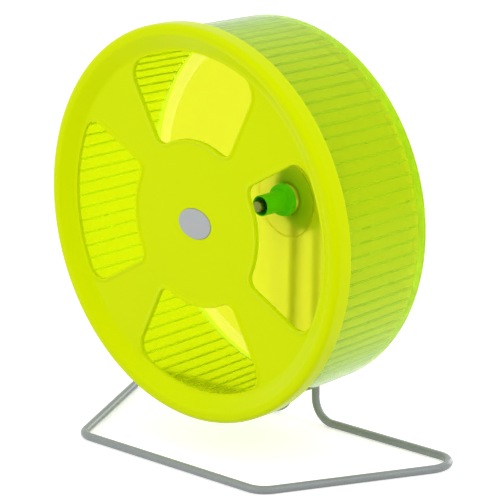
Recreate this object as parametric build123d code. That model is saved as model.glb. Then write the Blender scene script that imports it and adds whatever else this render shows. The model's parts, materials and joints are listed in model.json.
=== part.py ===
from build123d import *
import os
from math import cos, hypot, radians, sin, sqrt, tan

# Hamster running wheel on a bent-wire stand
#
# Lengths are in millimetres. X points to the right as seen from the front, Y points from the
# window side of the wheel to its closed back, and Z points up. Everything is drawn about the
# axle, with Y = 0 at the wheel's front edge, and is moved at the end so that the origin lies on
# the floor under the middle of the object.

# Wheel
wheel_diameter = 280.0
wheel_depth = 99.0
floor_gap = 27.6

# Front cover, an opaque lime moulding with a rolled rim and a set-back face
cover_wall = 2.6
cover_skirt_depth = 14.0
cover_shoulder_radius = 3.6
cover_blend_radius = 5.0
cover_rim_width = 17.8
cover_crest_width = 7.4
cover_recess_depth = 7.0

# Windows in the front cover
window_count = 4
window_inner_radius = 59.2
window_outer_margin = 19.5
window_inner_width = 65.5
window_outer_width = 124.1
window_inner_corner = 8.0
window_outer_corner = 13.0
window_bead_width = 3.0
window_bead_height = 0.9

# Label plate, plain, set in a shallow pocket at the cover's centre
label_width = 31.0
label_height = 21.4
label_thickness = 1.4
label_pocket_depth = 0.6
label_edge_radius = 0.4
label_clearance = 0.15

# Drum, a see-through lime moulding: running track and closed back in one
drum_wall = 2.5
drum_front_inset = 5.4
drum_back_inset = 8.1
drum_corner_radius = 3.0
drum_band_width = 9.9
drum_band_depth = 5.5
drum_collar_length = 10.0
drum_collar_projection = 2.0
collar_clearance = 0.3
snap_bead_height = 0.5
snap_bead_width = 1.6
snap_groove_clearance = 0.2
snap_edge_distance = 3.5
rib_count = 90
rib_height = 1.2
rib_width = 1.2
pad_diameter = 55.4
pad_front_step = 1.0
pad_back_step = 2.0

# Hub, a darker green moulding that is pushed through the drum's back from behind
hub_barrel_diameter = 22.6
hub_barrel_reach = 4.6
hub_tube_diameter = 15.0
hub_tube_length = 19.7
hub_tube_bore = 13.0
hub_mouth_chamfer = 0.4
hub_neck_radius = 1.2
hub_flange_diameter = 24.6
hub_flange_thickness = 2.5
hub_front_wall = 2.1
hub_rear_lip = 0.5
hub_snap_height = 0.6
hub_snap_width = 1.0

# Ball bearings, 8 x 16 x 5, two in the hub's barrel with spacers between them
bearing_bore = 8.0
bearing_diameter = 16.0
bearing_width = 5.0
bearing_spacing = 8.0
ball_diameter = 2.38
ball_count = 9
pitch_diameter = 12.0
race_clearance = 0.08
ring_wall = 0.9
ring_edge_chamfer = 0.2
cage_wall = 1.2
cage_web = 0.5
cage_grip = 0.6
cage_pocket_clearance = 0.06
shield_thickness = 0.3
shield_inset = 0.2
shield_seat = 0.3
shield_gap = 0.3

# Axle, steel, with a clip groove in front, a collar and a threaded tail
axle_tip_reach = 3.5
axle_tip_chamfer = 0.6
axle_collar_diameter = 10.4
axle_tail_diameter = 6.0
axle_tail_past_nut = 0.2
clip_groove_diameter = 6.0
clip_thickness = 0.7
clip_diameter = 12.3
clip_mouth_width = 4.4
clip_relief_diameter = 2.4
clip_relief_radius = 3.7
clip_relief_angle = 52.0
shim_thickness = 0.5

# Bracket, two green discs that clamp the posts of the stand behind the wheel
bracket_diameter = 51.0
bracket_front_depth = 4.6
bracket_back_depth = 8.5
bracket_edge_radius = 2.0
bracket_running_gap = 1.5

# Axle nut and its washer, sunk into the bracket's back
nut_across_flats = 10.0
nut_height = 5.0
nut_chamfer = 0.5
nut_pocket_clearance = 0.25
nut_sink = 0.4
washer_diameter = 12.0
washer_thickness = 1.6

# Bracket screws
screw_count = 4
screw_circle_radius = 19.8
screw_diameter = 2.9
screw_length = 9.3
screw_head_diameter = 5.6
screw_head_height = 2.0
screw_head_sink = 0.5
screw_head_clearance = 0.3
screw_hole_clearance = 0.15
screw_cross_length = 3.2
screw_cross_width = 0.8
screw_cross_depth = 1.0

# Stand, one bent steel wire
wire_diameter = 5.8
wire_bend_radius = 17.0
front_bend_radius = 16.5
post_spacing = 21.0
post_foot_spacing = 25.8
post_lean = 6.7
post_bend_drop = 2.0
post_end_height = 16.0
post_end_clearance = 0.3
front_rail_width = 178.5
rear_rail_width = 321.2
front_rail_reach = 24.8

# Fits shared by all pieces
seat_clearance = 0.05
cut_overrun = 4.0

# Places that follow from the sizes above, Y measured from the wheel's front edge
wheel_radius = wheel_diameter / 2
axle_height = wheel_radius + floor_gap
pad_front_y = wheel_depth - drum_wall - pad_front_step
pad_back_y = wheel_depth + pad_back_step
hub_shoulder_y = pad_front_y - hub_barrel_reach
hub_mouth_y = hub_shoulder_y - hub_tube_length
bearing_seat_y = hub_shoulder_y + hub_front_wall
rear_bearing_y = bearing_seat_y + bearing_width + bearing_spacing
bearing_end_y = rear_bearing_y + bearing_width
hub_end_y = bearing_end_y + hub_rear_lip
bracket_front_y = hub_end_y + bracket_running_gap
post_y = bracket_front_y + bracket_front_depth
bracket_back_y = post_y + bracket_back_depth
axle_tip_y = hub_mouth_y - axle_tip_reach
nut_y = bracket_back_y - nut_sink - nut_height
washer_y = nut_y - washer_thickness
front_rail_y = -front_rail_reach
rear_rail_y = post_y - post_lean
rail_z = wire_diameter / 2 - axle_height
middle_y = (front_rail_y - wire_diameter / 2 + bracket_back_y) / 2


def rounded_edges(corners, closed):
    """Straight runs joined by tangent arcs. Each corner is a point and its radius."""
    points = [Vector(*point) for point, radius in corners]
    count = len(points)
    entries = []
    exits = []
    arcs = []
    for i, (point, radius) in enumerate(corners):
        here = points[i]
        is_end = not closed and i in (0, count - 1)
        if is_end or radius == 0:
            entries.append(here)
            exits.append(here)
            arcs.append(None)
            continue
        back = (points[i - 1] - here).normalized()
        ahead = (points[(i + 1) % count] - here).normalized()
        half_angle = radians(back.get_angle(ahead)) / 2
        inward = (back + ahead).normalized()
        run = radius / tan(half_angle)
        nearest = radius / sin(half_angle) - radius
        entries.append(here + back * run)
        exits.append(here + ahead * run)
        arcs.append(here + inward * nearest)
    edges = []
    for i in range(count):
        if arcs[i] is not None:
            edges.append(Edge.make_three_point_arc(entries[i], arcs[i], exits[i]))
        if i + 1 < count or closed:
            edges.append(Edge.make_line(exits[i], entries[(i + 1) % count]))
    return edges


def turned(corners):
    """A solid of revolution about the axle. Each corner is (radius, y) and its rounding."""
    outline = [((radius, y, 0), rounding) for (radius, y), rounding in corners]
    face = Face(Wire(rounded_edges(outline, True)))
    return Solid.revolve(face, 360, Axis.Y)


def ring(outer_radius, inner_radius, start_y, length, edge=0):
    """A tube or washer about the axle, with its outer edges rounded."""
    end_y = start_y + length
    corners = [
        ((inner_radius, start_y), 0),
        ((outer_radius, start_y), edge),
        ((outer_radius, end_y), edge),
        ((inner_radius, end_y), 0),
    ]
    return turned(corners)


def slab(sketch, start_y, length):
    """A flat outline drawn as seen from the front, made solid towards the back."""
    plane = Plane(origin=(0, start_y, 0), x_dir=(1, 0, 0), z_dir=(0, -1, 0))
    return extrude(plane * sketch, amount=-length)


def around(shape, count, first=0):
    """Copies of a shape, evenly spaced about the axle."""
    return [Rot(0, first + 360 * i / count, 0) * shape for i in range(count)]


# Front cover
window_inner_half = window_inner_width / 2
window_outer_half = window_outer_width / 2
window_outer_radius = wheel_radius - window_outer_margin
window_inner_rise = sqrt(window_inner_radius**2 - window_inner_half**2)
window_outer_rise = sqrt(window_outer_radius**2 - window_outer_half**2)
window_spread = (window_outer_half - window_inner_half) / (window_outer_rise - window_inner_rise)
keystone_foot_half = window_inner_half - window_spread * window_inner_rise
keystone_top_half = keystone_foot_half + window_spread * window_outer_radius
keystone = make_face(
    Polyline(
        (-keystone_foot_half, 0),
        (keystone_foot_half, 0),
        (keystone_top_half, window_outer_radius),
        (-keystone_top_half, window_outer_radius),
        close=True,
    )
)
window = (Circle(window_outer_radius) - Circle(window_inner_radius)) & keystone
window_middle = (window_inner_radius + window_outer_radius) / 2
inner_corners = window.vertices().filter_by(lambda v: hypot(v.X, v.Y) < window_middle)
window = fillet(inner_corners, window_inner_corner)
outer_corners = [
    v for v in window.vertices() if hypot(v.X, v.Y) > window_middle and abs(v.X) > window_inner_half
]
window = fillet(outer_corners, window_outer_corner)
window_bead = offset(window, amount=window_bead_width)

cover_foot_radius = wheel_radius - cover_rim_width
cover_crest_radius = wheel_radius - cover_crest_width
slope_rise = cover_recess_depth / hypot(cover_crest_radius - cover_foot_radius, cover_recess_depth)
slope_run = sqrt(1 - slope_rise**2)
cover_slope_shift = cover_wall * (1 - slope_run) / slope_rise
cover_back_y = cover_recess_depth + cover_wall
skirt_inner_radius = wheel_radius - cover_wall
cover_shell = turned(
    [
        ((0, cover_recess_depth), 0),
        ((cover_foot_radius, cover_recess_depth), cover_blend_radius),
        ((cover_crest_radius, 0), cover_blend_radius),
        ((wheel_radius, 0), cover_shoulder_radius),
        ((wheel_radius, cover_skirt_depth), 0),
        ((skirt_inner_radius, cover_skirt_depth), 0),
        ((skirt_inner_radius, cover_wall), cover_shoulder_radius - cover_wall),
        ((cover_crest_radius + cover_slope_shift, cover_wall), cover_blend_radius - cover_wall),
        ((cover_foot_radius + cover_slope_shift, cover_back_y), cover_blend_radius + cover_wall),
        ((0, cover_back_y), 0),
    ]
)
bead_y = cover_recess_depth - window_bead_height
bead_depth = window_bead_height + cover_wall
window_depth = cover_recess_depth + cover_wall + cut_overrun
bead_solid = slab(window_bead, bead_y, bead_depth)
window_cut = slab(window, 0, window_depth)
snap_y = cover_skirt_depth - snap_edge_distance
groove_radius = skirt_inner_radius - collar_clearance + snap_bead_height + snap_groove_clearance
groove_width = snap_bead_width + snap_groove_clearance * 2
snap_groove = ring(groove_radius, skirt_inner_radius - cover_wall, snap_y - groove_width / 2, groove_width)
label_pocket_outline = Ellipse(label_width / 2 + label_clearance, label_height / 2 + label_clearance)
label_pocket = slab(label_pocket_outline, 0, cover_recess_depth + label_pocket_depth)
front_cover = cover_shell + around(bead_solid, window_count)
front_cover = front_cover - around(window_cut, window_count) - snap_groove - label_pocket

# Label plate
label_start_y = cover_recess_depth + label_pocket_depth - label_thickness
label_plate = slab(Ellipse(label_width / 2, label_height / 2), label_start_y, label_thickness)
label_front = label_plate.faces().sort_by(Axis.Y)[0]
label_plate = fillet(label_front.edges(), label_edge_radius)

# Drum
drum_front_radius = wheel_radius - drum_front_inset
drum_back_radius = wheel_radius - drum_back_inset
track_front_radius = drum_front_radius - drum_wall
track_back_radius = drum_back_radius - drum_wall
collar_radius = skirt_inner_radius - collar_clearance
collar_end_y = cover_skirt_depth + drum_collar_projection
collar_start_y = collar_end_y - drum_collar_length
collar_inner_radius = collar_radius - drum_wall
track_start_y = collar_end_y - drum_wall
pad_radius = pad_diameter / 2
hub_barrel_radius = hub_barrel_diameter / 2
hub_hole_radius = hub_barrel_radius + seat_clearance
back_inner_y = wheel_depth - drum_wall
band_start_y = back_inner_y - drum_band_depth
inner_corner_radius = drum_corner_radius - drum_wall
drum_shell = turned(
    [
        ((collar_inner_radius, collar_start_y), 0),
        ((collar_radius, collar_start_y), drum_wall / 2),
        ((collar_radius, collar_end_y), 0),
        ((drum_front_radius, collar_end_y), 0),
        ((drum_back_radius, wheel_depth), drum_corner_radius),
        ((pad_radius, wheel_depth), 0),
        ((pad_radius, pad_back_y), 0),
        ((hub_hole_radius, pad_back_y), 0),
        ((hub_hole_radius, pad_front_y), 0),
        ((pad_radius, pad_front_y), 0),
        ((pad_radius, back_inner_y), 0),
        ((track_back_radius - drum_band_width, back_inner_y), inner_corner_radius),
        ((track_back_radius, band_start_y), inner_corner_radius),
        ((track_front_radius, track_start_y), 0),
        ((collar_inner_radius, track_start_y), 0),
    ]
)
snap_bead = ring(
    collar_radius + snap_bead_height,
    collar_radius - snap_bead_height,
    snap_y - snap_bead_width / 2,
    snap_bead_width,
    snap_bead_height / 2,
)
rib_outline = Polyline(
    (track_front_radius - rib_height, track_start_y, 0),
    (track_front_radius + drum_wall / 2, track_start_y, 0),
    (track_back_radius + drum_wall / 2, band_start_y, 0),
    (track_back_radius - rib_height, band_start_y, 0),
    close=True,
)
rib = extrude(make_face(rib_outline), amount=rib_width / 2, both=True)
drum = drum_shell + [snap_bead] + around(rib, rib_count)

# Hub
hub_tube_radius = hub_tube_diameter / 2
hub_bore_radius = hub_tube_bore / 2
seat_radius = bearing_diameter / 2 + seat_clearance
hub_flange_radius = hub_flange_diameter / 2
hub_flange_end_y = pad_back_y + hub_flange_thickness
hub_snap_radius = hub_barrel_radius + hub_snap_height
hub_snap_y = pad_front_y - hub_snap_width
hub = turned(
    [
        ((hub_bore_radius, hub_mouth_y), hub_mouth_chamfer),
        ((hub_tube_radius, hub_mouth_y), hub_mouth_chamfer),
        ((hub_tube_radius, hub_shoulder_y), hub_neck_radius),
        ((hub_barrel_radius, hub_shoulder_y), hub_mouth_chamfer),
        ((hub_barrel_radius, hub_snap_y), 0),
        ((hub_snap_radius, pad_front_y), 0),
        ((hub_barrel_radius, pad_front_y), 0),
        ((hub_barrel_radius, pad_back_y), 0),
        ((hub_flange_radius, pad_back_y), 0),
        ((hub_flange_radius, hub_flange_end_y), hub_mouth_chamfer),
        ((hub_barrel_radius, hub_flange_end_y), 0),
        ((hub_barrel_radius, hub_end_y), hub_mouth_chamfer),
        ((seat_radius, hub_end_y), 0),
        ((seat_radius, bearing_seat_y), 0),
        ((hub_bore_radius, bearing_seat_y), 0),
    ]
)

# Ball bearings
bearing_bore_radius = bearing_bore / 2
bearing_outer_radius = bearing_diameter / 2
ball_radius = ball_diameter / 2
pitch_radius = pitch_diameter / 2
race_radius = ball_radius + race_clearance
inner_land_radius = bearing_bore_radius + ring_wall
outer_land_radius = bearing_outer_radius - ring_wall
shield_outer_radius = outer_land_radius + shield_seat
shield_depth = shield_inset + shield_thickness


def bearing(start_y):
    """Inner ring, outer ring, balls, cage and shields of one bearing."""
    middle = start_y + bearing_width / 2
    race = Pos(0, middle, 0) * Rot(90, 0, 0) * Torus(pitch_radius, race_radius)
    inner_ring = ring(inner_land_radius, bearing_bore_radius, start_y, bearing_width, ring_edge_chamfer)
    outer_ring = ring(bearing_outer_radius, outer_land_radius, start_y, bearing_width, ring_edge_chamfer)
    seat_front = ring(shield_outer_radius, inner_land_radius, start_y, shield_depth)
    seat_rear = ring(shield_outer_radius, inner_land_radius, start_y + bearing_width - shield_depth, shield_depth)
    ball = Pos(0, middle, pitch_radius) * Sphere(ball_radius)
    pocket = Pos(0, middle, pitch_radius) * Sphere(ball_radius + cage_pocket_clearance)
    cage_start_y = middle - cage_grip
    cage_length = cage_grip + ball_radius + cage_pocket_clearance + cage_web
    cage = ring(pitch_radius + cage_wall / 2, pitch_radius - cage_wall / 2, cage_start_y, cage_length)
    shield_inner_radius = inner_land_radius + shield_gap
    shield_rim_radius = shield_outer_radius - seat_clearance
    front_shield = ring(shield_rim_radius, shield_inner_radius, start_y + shield_inset, shield_thickness)
    rear_shield_y = start_y + bearing_width - shield_depth
    rear_shield = ring(shield_rim_radius, shield_inner_radius, rear_shield_y, shield_thickness)
    return {
        "inner_ring": inner_ring - race,
        "outer_ring": outer_ring - race - seat_front - seat_rear,
        "balls": Compound(children=around(ball, ball_count)),
        "cage": cage - around(pocket, ball_count),
        "shields": Compound(children=[front_shield, rear_shield]),
    }


front_bearing = bearing(bearing_seat_y)
rear_bearing = bearing(rear_bearing_y)
spacer_y = bearing_seat_y + bearing_width
axle_radius = bearing_bore_radius - seat_clearance
inner_spacer = ring(inner_land_radius, bearing_bore_radius, spacer_y, bearing_spacing)
outer_spacer = ring(bearing_outer_radius, outer_land_radius, spacer_y, bearing_spacing)

# Axle and what holds the bearings on it
shim_y = bearing_seat_y - shim_thickness
clip_y = shim_y - clip_thickness
groove_radius_axle = clip_groove_diameter / 2
collar_axle_radius = axle_collar_diameter / 2
tail_radius = axle_tail_diameter / 2
tail_end_y = nut_y + nut_height + axle_tail_past_nut
axle = turned(
    [
        ((0, axle_tip_y), 0),
        ((axle_radius, axle_tip_y), axle_tip_chamfer),
        ((axle_radius, clip_y), 0),
        ((groove_radius_axle, clip_y), 0),
        ((groove_radius_axle, shim_y), 0),
        ((axle_radius, shim_y), 0),
        ((axle_radius, bearing_end_y), 0),
        ((collar_axle_radius, bearing_end_y), 0),
        ((collar_axle_radius, bracket_front_y), 0),
        ((tail_radius, bracket_front_y), 0),
        ((tail_radius, tail_end_y), 0),
        ((0, tail_end_y), 0),
    ]
)
shim_washer = ring(inner_land_radius, bearing_bore_radius, shim_y, shim_thickness)
clip_radius = clip_diameter / 2
clip_grip_radius = groove_radius_axle + seat_clearance
clip_mouth = Pos(0, clip_radius / 2) * Rectangle(clip_mouth_width, clip_radius)
clip_relief = Pos(0, -clip_relief_radius) * Circle(clip_relief_diameter / 2)
clip_outline = Circle(clip_radius) - Circle(clip_grip_radius) - clip_mouth
clip_outline = clip_outline - Rot(0, 0, clip_relief_angle) * clip_relief
clip_outline = clip_outline - Rot(0, 0, -clip_relief_angle) * clip_relief
retaining_clip = slab(clip_outline, clip_y, clip_thickness)

# Stand
wire_radius = wire_diameter / 2
bracket_radius = bracket_diameter / 2
post_x = post_spacing / 2
post_foot_x = post_foot_spacing / 2
post_bend_z = -bracket_radius - post_bend_drop
front_corner_x = front_rail_width / 2
rear_corner_x = rear_rail_width / 2
wire_path = Wire(
    rounded_edges(
        [
            ((-post_x, post_y, post_end_height), 0),
            ((-post_x, post_y, post_bend_z), wire_bend_radius),
            ((-post_foot_x, rear_rail_y, rail_z), wire_bend_radius),
            ((-rear_corner_x, rear_rail_y, rail_z), wire_bend_radius),
            ((-front_corner_x, front_rail_y, rail_z), front_bend_radius),
            ((front_corner_x, front_rail_y, rail_z), front_bend_radius),
            ((rear_corner_x, rear_rail_y, rail_z), wire_bend_radius),
            ((post_foot_x, rear_rail_y, rail_z), wire_bend_radius),
            ((post_x, post_y, post_bend_z), wire_bend_radius),
            ((post_x, post_y, post_end_height), 0),
        ],
        False,
    )
)
wire_section = Plane(origin=wire_path @ 0, z_dir=wire_path % 0) * Circle(wire_radius)
wire_stand = sweep(wire_section, wire_path)

# Bracket
tail_hole_radius = tail_radius + seat_clearance
channel_radius = wire_radius + seat_clearance
channel_top = post_end_height + post_end_clearance
channel_length = channel_top + bracket_radius + cut_overrun
channel = Pos(post_x, post_y, channel_top - channel_length / 2) * Cylinder(channel_radius, channel_length)
channels = [channel, mirror(channel, Plane.YZ)]
screw_tip_y = bracket_back_y - screw_head_sink - screw_head_height - screw_length
screw_seat_y = screw_tip_y + screw_length
screw_radius = screw_diameter / 2
pilot_depth = post_y - screw_tip_y + seat_clearance
screw_pilot = slab(Circle(screw_radius + seat_clearance), post_y - pilot_depth, pilot_depth)
screw_hole = slab(Circle(screw_radius + screw_hole_clearance), post_y, bracket_back_depth)
head_pocket_radius = screw_head_diameter / 2 + screw_head_clearance
head_pocket = slab(Circle(head_pocket_radius), screw_seat_y, bracket_back_y - screw_seat_y + cut_overrun)
screw_place = Pos(0, 0, screw_circle_radius)
bracket_front = turned(
    [
        ((tail_hole_radius, bracket_front_y), 0),
        ((bracket_radius, bracket_front_y), bracket_edge_radius),
        ((bracket_radius, post_y), 0),
        ((tail_hole_radius, post_y), 0),
    ]
)
bracket_front = bracket_front - channels - around(screw_place * screw_pilot, screw_count)
washer_pocket_radius = washer_diameter / 2 + nut_pocket_clearance
washer_pocket = ring(washer_pocket_radius, 0, washer_y, bracket_back_y - washer_y + cut_overrun)
bracket_back = turned(
    [
        ((tail_hole_radius, post_y), 0),
        ((bracket_radius, post_y), 0),
        ((bracket_radius, bracket_back_y), bracket_edge_radius),
        ((tail_hole_radius, bracket_back_y), 0),
    ]
)
bracket_back = bracket_back - channels - washer_pocket
bracket_back = bracket_back - around(screw_place * screw_hole, screw_count)
bracket_back = bracket_back - around(screw_place * head_pocket, screw_count)

# Bracket screws, pan head with a cross recess
screw_head_radius = screw_head_diameter / 2
screw_shank = slab(Circle(screw_radius), screw_tip_y, screw_length)
screw_head = slab(Circle(screw_head_radius), screw_seat_y, screw_head_height)
screw_head_edge = screw_head.faces().sort_by(Axis.Y)[-1].edges()
screw_head = fillet(screw_head_edge, screw_head_height / 2)
cross = Rectangle(screw_cross_length, screw_cross_width) + Rectangle(screw_cross_width, screw_cross_length)
cross_cut = slab(cross, screw_seat_y + screw_head_height - screw_cross_depth, screw_cross_depth)
screw = screw_shank + screw_head - cross_cut
bracket_screws = Compound(children=around(screw_place * screw, screw_count))

# Axle nut and washer
axle_washer = ring(washer_diameter / 2, tail_hole_radius, washer_y, washer_thickness)
nut_half = nut_across_flats / 2
nut_outline = RegularPolygon(nut_half, 6, major_radius=False) - Circle(tail_hole_radius)
nut_block = slab(nut_outline, nut_y, nut_height)
nut_corner_radius = nut_half / cos(radians(30))
nut_dome = ring(nut_corner_radius, 0, nut_y, nut_height, nut_chamfer)
axle_nut = nut_block & nut_dome

# Every piece, moved to the floor frame and written out
pieces = {
    "front_cover": front_cover,
    "label_plate": label_plate,
    "drum": drum,
    "hub": hub,
    "outer_spacer": outer_spacer,
    "inner_spacer": inner_spacer,
    "axle": axle,
    "shim_washer": shim_washer,
    "retaining_clip": retaining_clip,
    "wire_stand": wire_stand,
    "bracket_front": bracket_front,
    "bracket_back": bracket_back,
    "bracket_screws": bracket_screws,
    "axle_washer": axle_washer,
    "axle_nut": axle_nut,
}
for place_name, set_of_parts in (("front_bearing", front_bearing), ("rear_bearing", rear_bearing)):
    for part_name, shape in set_of_parts.items():
        pieces[place_name + "_" + part_name] = shape

to_floor = Pos(0, -middle_y, axle_height)
os.makedirs("parts", exist_ok=True)
for name, shape in pieces.items():
    export_step(to_floor * shape, "parts/" + name + ".step")
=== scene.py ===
# %% [markdown]
# # A hamster wheel, piece by piece
#
# The object is a running wheel for small pets. An opaque lime cover with four windows closes the
# front of a see-through lime drum. The drum turns on a steel axle, which a green bracket holds
# between the two posts of a stand bent from one steel wire.
#
# The engineering model comes first. It fixes where each piece is and how it turns. Everything
# below dresses it: a shape is modelled again only where the eye gains from it.

# %% Load the engineering model
import json
import math

import bmesh
import bpy
from mathutils import Matrix, Quaternion, Vector
from mathutils.geometry import tessellate_polygon


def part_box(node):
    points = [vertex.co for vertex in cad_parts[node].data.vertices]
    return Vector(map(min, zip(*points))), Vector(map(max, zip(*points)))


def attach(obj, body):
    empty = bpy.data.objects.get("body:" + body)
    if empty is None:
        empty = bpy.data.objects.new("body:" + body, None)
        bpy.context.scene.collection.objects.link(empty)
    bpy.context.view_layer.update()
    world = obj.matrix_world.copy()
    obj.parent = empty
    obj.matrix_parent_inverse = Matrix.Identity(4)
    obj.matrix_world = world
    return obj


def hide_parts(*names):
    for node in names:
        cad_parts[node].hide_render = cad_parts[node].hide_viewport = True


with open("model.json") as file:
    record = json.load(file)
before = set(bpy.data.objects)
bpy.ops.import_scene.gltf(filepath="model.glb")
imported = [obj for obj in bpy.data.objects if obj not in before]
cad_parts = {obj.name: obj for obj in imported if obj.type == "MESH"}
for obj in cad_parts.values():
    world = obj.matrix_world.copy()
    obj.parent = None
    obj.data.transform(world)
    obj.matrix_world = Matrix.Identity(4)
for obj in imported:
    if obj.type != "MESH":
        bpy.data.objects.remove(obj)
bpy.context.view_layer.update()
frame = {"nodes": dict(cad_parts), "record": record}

# %% [markdown]
# ## Where the wheel is
#
# All sizes below are real ones in millimetres, drawn about the axle, with depth counted from the
# cover's front edge. Blender works in metres. The axle's place is read from the engineering model,
# so the pieces land on it without fitting.

# %% Read the axle's place
MM = 0.001
cover_low, cover_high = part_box("front_cover")
wheel_radius = (cover_high.x - cover_low.x) / 2 / MM
axle_place = Vector((0, cover_low.y, (cover_high.z + cover_low.z) / 2))
to_axle = Matrix.Translation(axle_place) @ Matrix.Scale(MM, 4)
print("wheel radius in mm", round(wheel_radius, 2), "axle height in mm", round(axle_place.z / MM, 2))

# %% [markdown]
# ## One helper for all node trees
#
# Shaders and Geometry Nodes are both trees of nodes. One small function adds any node, sets what is
# a plain value and links what is another node's output. A list makes several links to one input.


# %% A helper that adds a node
def add_node(tree, kind, inputs=None, **settings):
    """Adds a node to a tree. Settings are its properties; inputs are values or outputs to link."""
    node = tree.nodes.new(kind)
    for name, value in settings.items():
        setattr(node, name, value)
    for key, value in (inputs or {}).items():
        sources = value if isinstance(value, list) else [value]
        if isinstance(sources[0], bpy.types.NodeSocket):
            for source in sources:
                tree.links.new(source, node.inputs[key])
        else:
            node.inputs[key].default_value = value
    return node


# %% [markdown]
# ## Colours
#
# A hex colour is written for the screen, in sRGB. Shaders count light, so each channel is turned
# to linear before it is used.


# %% Turn hex colours to linear
def linear(hex_colour):
    """An sRGB hex colour, such as CCE102, as a linear RGBA value."""
    channels = [int(hex_colour[i : i + 2], 16) / 255 for i in (0, 2, 4)]
    lit = [c / 12.92 if c <= 0.04045 else ((c + 0.055) / 1.055) ** 2.4 for c in channels]
    return (*lit, 1.0)


print("lime in linear light", [round(c, 3) for c in linear("CCE102")])

# %% [markdown]
# ## What the finishes share
#
# No real surface is quite even. Each finish below carries noise of a certain size, which shifts its
# colour and gloss a little and gives it a slight relief. The noise lies on Object coordinates, so
# the pattern stays on the piece when it turns.


# %% Helpers for the finishes
def empty_tree(owner):
    """The node tree of a material or of the world, emptied."""
    owner.use_nodes = True
    owner.node_tree.nodes.clear()
    return owner.node_tree


def noise(tree, size_mm, detail):
    """Noise from 0 to 1 on the piece's own coordinates, with features of a size."""
    place = add_node(tree, "ShaderNodeTexCoord").outputs["Object"]
    values = {"Vector": place, "Scale": 1 / (size_mm * MM), "Detail": detail}
    return add_node(tree, "ShaderNodeTexNoise", values).outputs["Fac"]


def blend(tree, share, colour, other_colour):
    """A colour between two hex colours."""
    mix = add_node(tree, "ShaderNodeMix", {"Factor": share}, data_type="RGBA")
    mix.inputs["A"].default_value = linear(colour)
    mix.inputs["B"].default_value = linear(other_colour)
    return mix.outputs["Result"]


def around(tree, share, middle, spread):
    """A value that lies around a middle, by at most the spread."""
    values = {"Value": share, "To Min": middle - spread, "To Max": middle + spread}
    return add_node(tree, "ShaderNodeMapRange", values).outputs["Result"]


def relief(tree, height, strength, depth_mm):
    """The shading direction on a slight relief."""
    values = {"Height": height, "Strength": strength, "Distance": depth_mm * MM}
    return add_node(tree, "ShaderNodeBump", values).outputs["Normal"]


print("finish helpers ready")

# %% [markdown]
# ## Moulded plastics
#
# Cover, hub and bracket are injection-moulded ABS. The mould's polish comes out as a soft gloss,
# never quite even: the skin has a faint waviness, called orange peel, a few millimetres wide, and
# the pigment is a touch denser in some places. The peel also makes the gloss uneven by a few
# percent. The sheen is kept low and in the plastic's own colour.


# %% Make a moulded plastic
def moulded_plastic(name, colour, dense_colour, gloss_colour, gloss_roughness):
    """Opaque moulded ABS: pigment drift, orange peel and an uneven gloss of its own colour."""
    refraction, sheen = 1.53, 0.07
    drift_mm, peel_mm = 60.0, 4.0
    peel_strength, peel_depth_mm, gloss_spread = 0.05, 0.02, 0.04
    material = bpy.data.materials.new(name)
    tree = empty_tree(material)
    drift = noise(tree, drift_mm, detail=2.0)
    peel = noise(tree, peel_mm, detail=1.0)
    surface = add_node(
        tree,
        "ShaderNodeBsdfPrincipled",
        {
            "Base Color": blend(tree, drift, colour, dense_colour),
            "Roughness": around(tree, peel, gloss_roughness, gloss_spread),
            "Normal": relief(tree, peel, peel_strength, peel_depth_mm),
            "IOR": refraction,
            "Specular IOR Level": sheen,
            "Specular Tint": linear(gloss_colour),
        },
    )
    add_node(tree, "ShaderNodeOutputMaterial", {"Surface": surface.outputs["BSDF"]})
    return material


lime_abs = moulded_plastic("polished lime ABS", "D8E800", "D0E500", "E4FF10", 0.24)
green_abs = moulded_plastic("polished green ABS", "64D60A", "5ACC06", "90F860", 0.3)
print("made", lime_abs.name, "and", green_abs.name)

# %% [markdown]
# ## The see-through drum
#
# The drum is clear polystyrene, dyed lime. Its polish lets the posts behind it show, softly, and
# its dye scatters some light, so the wall glows where light falls on its far side. A rough
# refraction carries the view through, and a translucent share carries the glow.
#
# One plastic gets five copies, each with the light and shade of its place painted into its colours:
# the track inside is painted bright yellow, the ribs denser, the outer skin greener, the back wall
# paler and hazy, and the fillet round it pale with the light through the back. The refraction is set
# weaker than in real polystyrene, which keeps the white sheen of the studio low.


# %% Make the dyed polystyrene
def dyed_polystyrene(name, dye_and_light_colour, glow_and_light_colour, glow_share, blur, clearness=1.0):
    """A see-through moulding: a blurred view through it, mixed with scattered light. Its colours hold
    the dye and painted light.
    """
    refraction = 1.25
    flow_mm, ripple_depth_mm = 25.0, 0.1
    ripple_strength, blur_spread = 0.1, 0.02
    material = bpy.data.materials.new(name)
    tree = empty_tree(material)
    flow = noise(tree, flow_mm, detail=2.0)
    ripple = relief(tree, flow, ripple_strength, ripple_depth_mm)
    clear = add_node(
        tree,
        "ShaderNodeBsdfPrincipled",
        {
            "Base Color": linear(dye_and_light_colour),
            "Roughness": around(tree, flow, blur, blur_spread),
            "Normal": ripple,
            "IOR": refraction,
            "Transmission Weight": clearness,
            "Specular Tint": linear(glow_and_light_colour),
        },
    )
    glow = add_node(
        tree, "ShaderNodeBsdfTranslucent", {"Color": linear(glow_and_light_colour), "Normal": ripple}
    )
    both = add_node(
        tree,
        "ShaderNodeMixShader",
        {0: glow_share, 1: clear.outputs["BSDF"], 2: glow.outputs["BSDF"]},
    )
    add_node(tree, "ShaderNodeOutputMaterial", {"Surface": both.outputs["Shader"]})
    return material


# The same dyed plastic five times, each copy with painted light and shade of its place: the track
# painted bright yellow, the ribs denser, the skin greener, the back wall and fillet paler.
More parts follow.
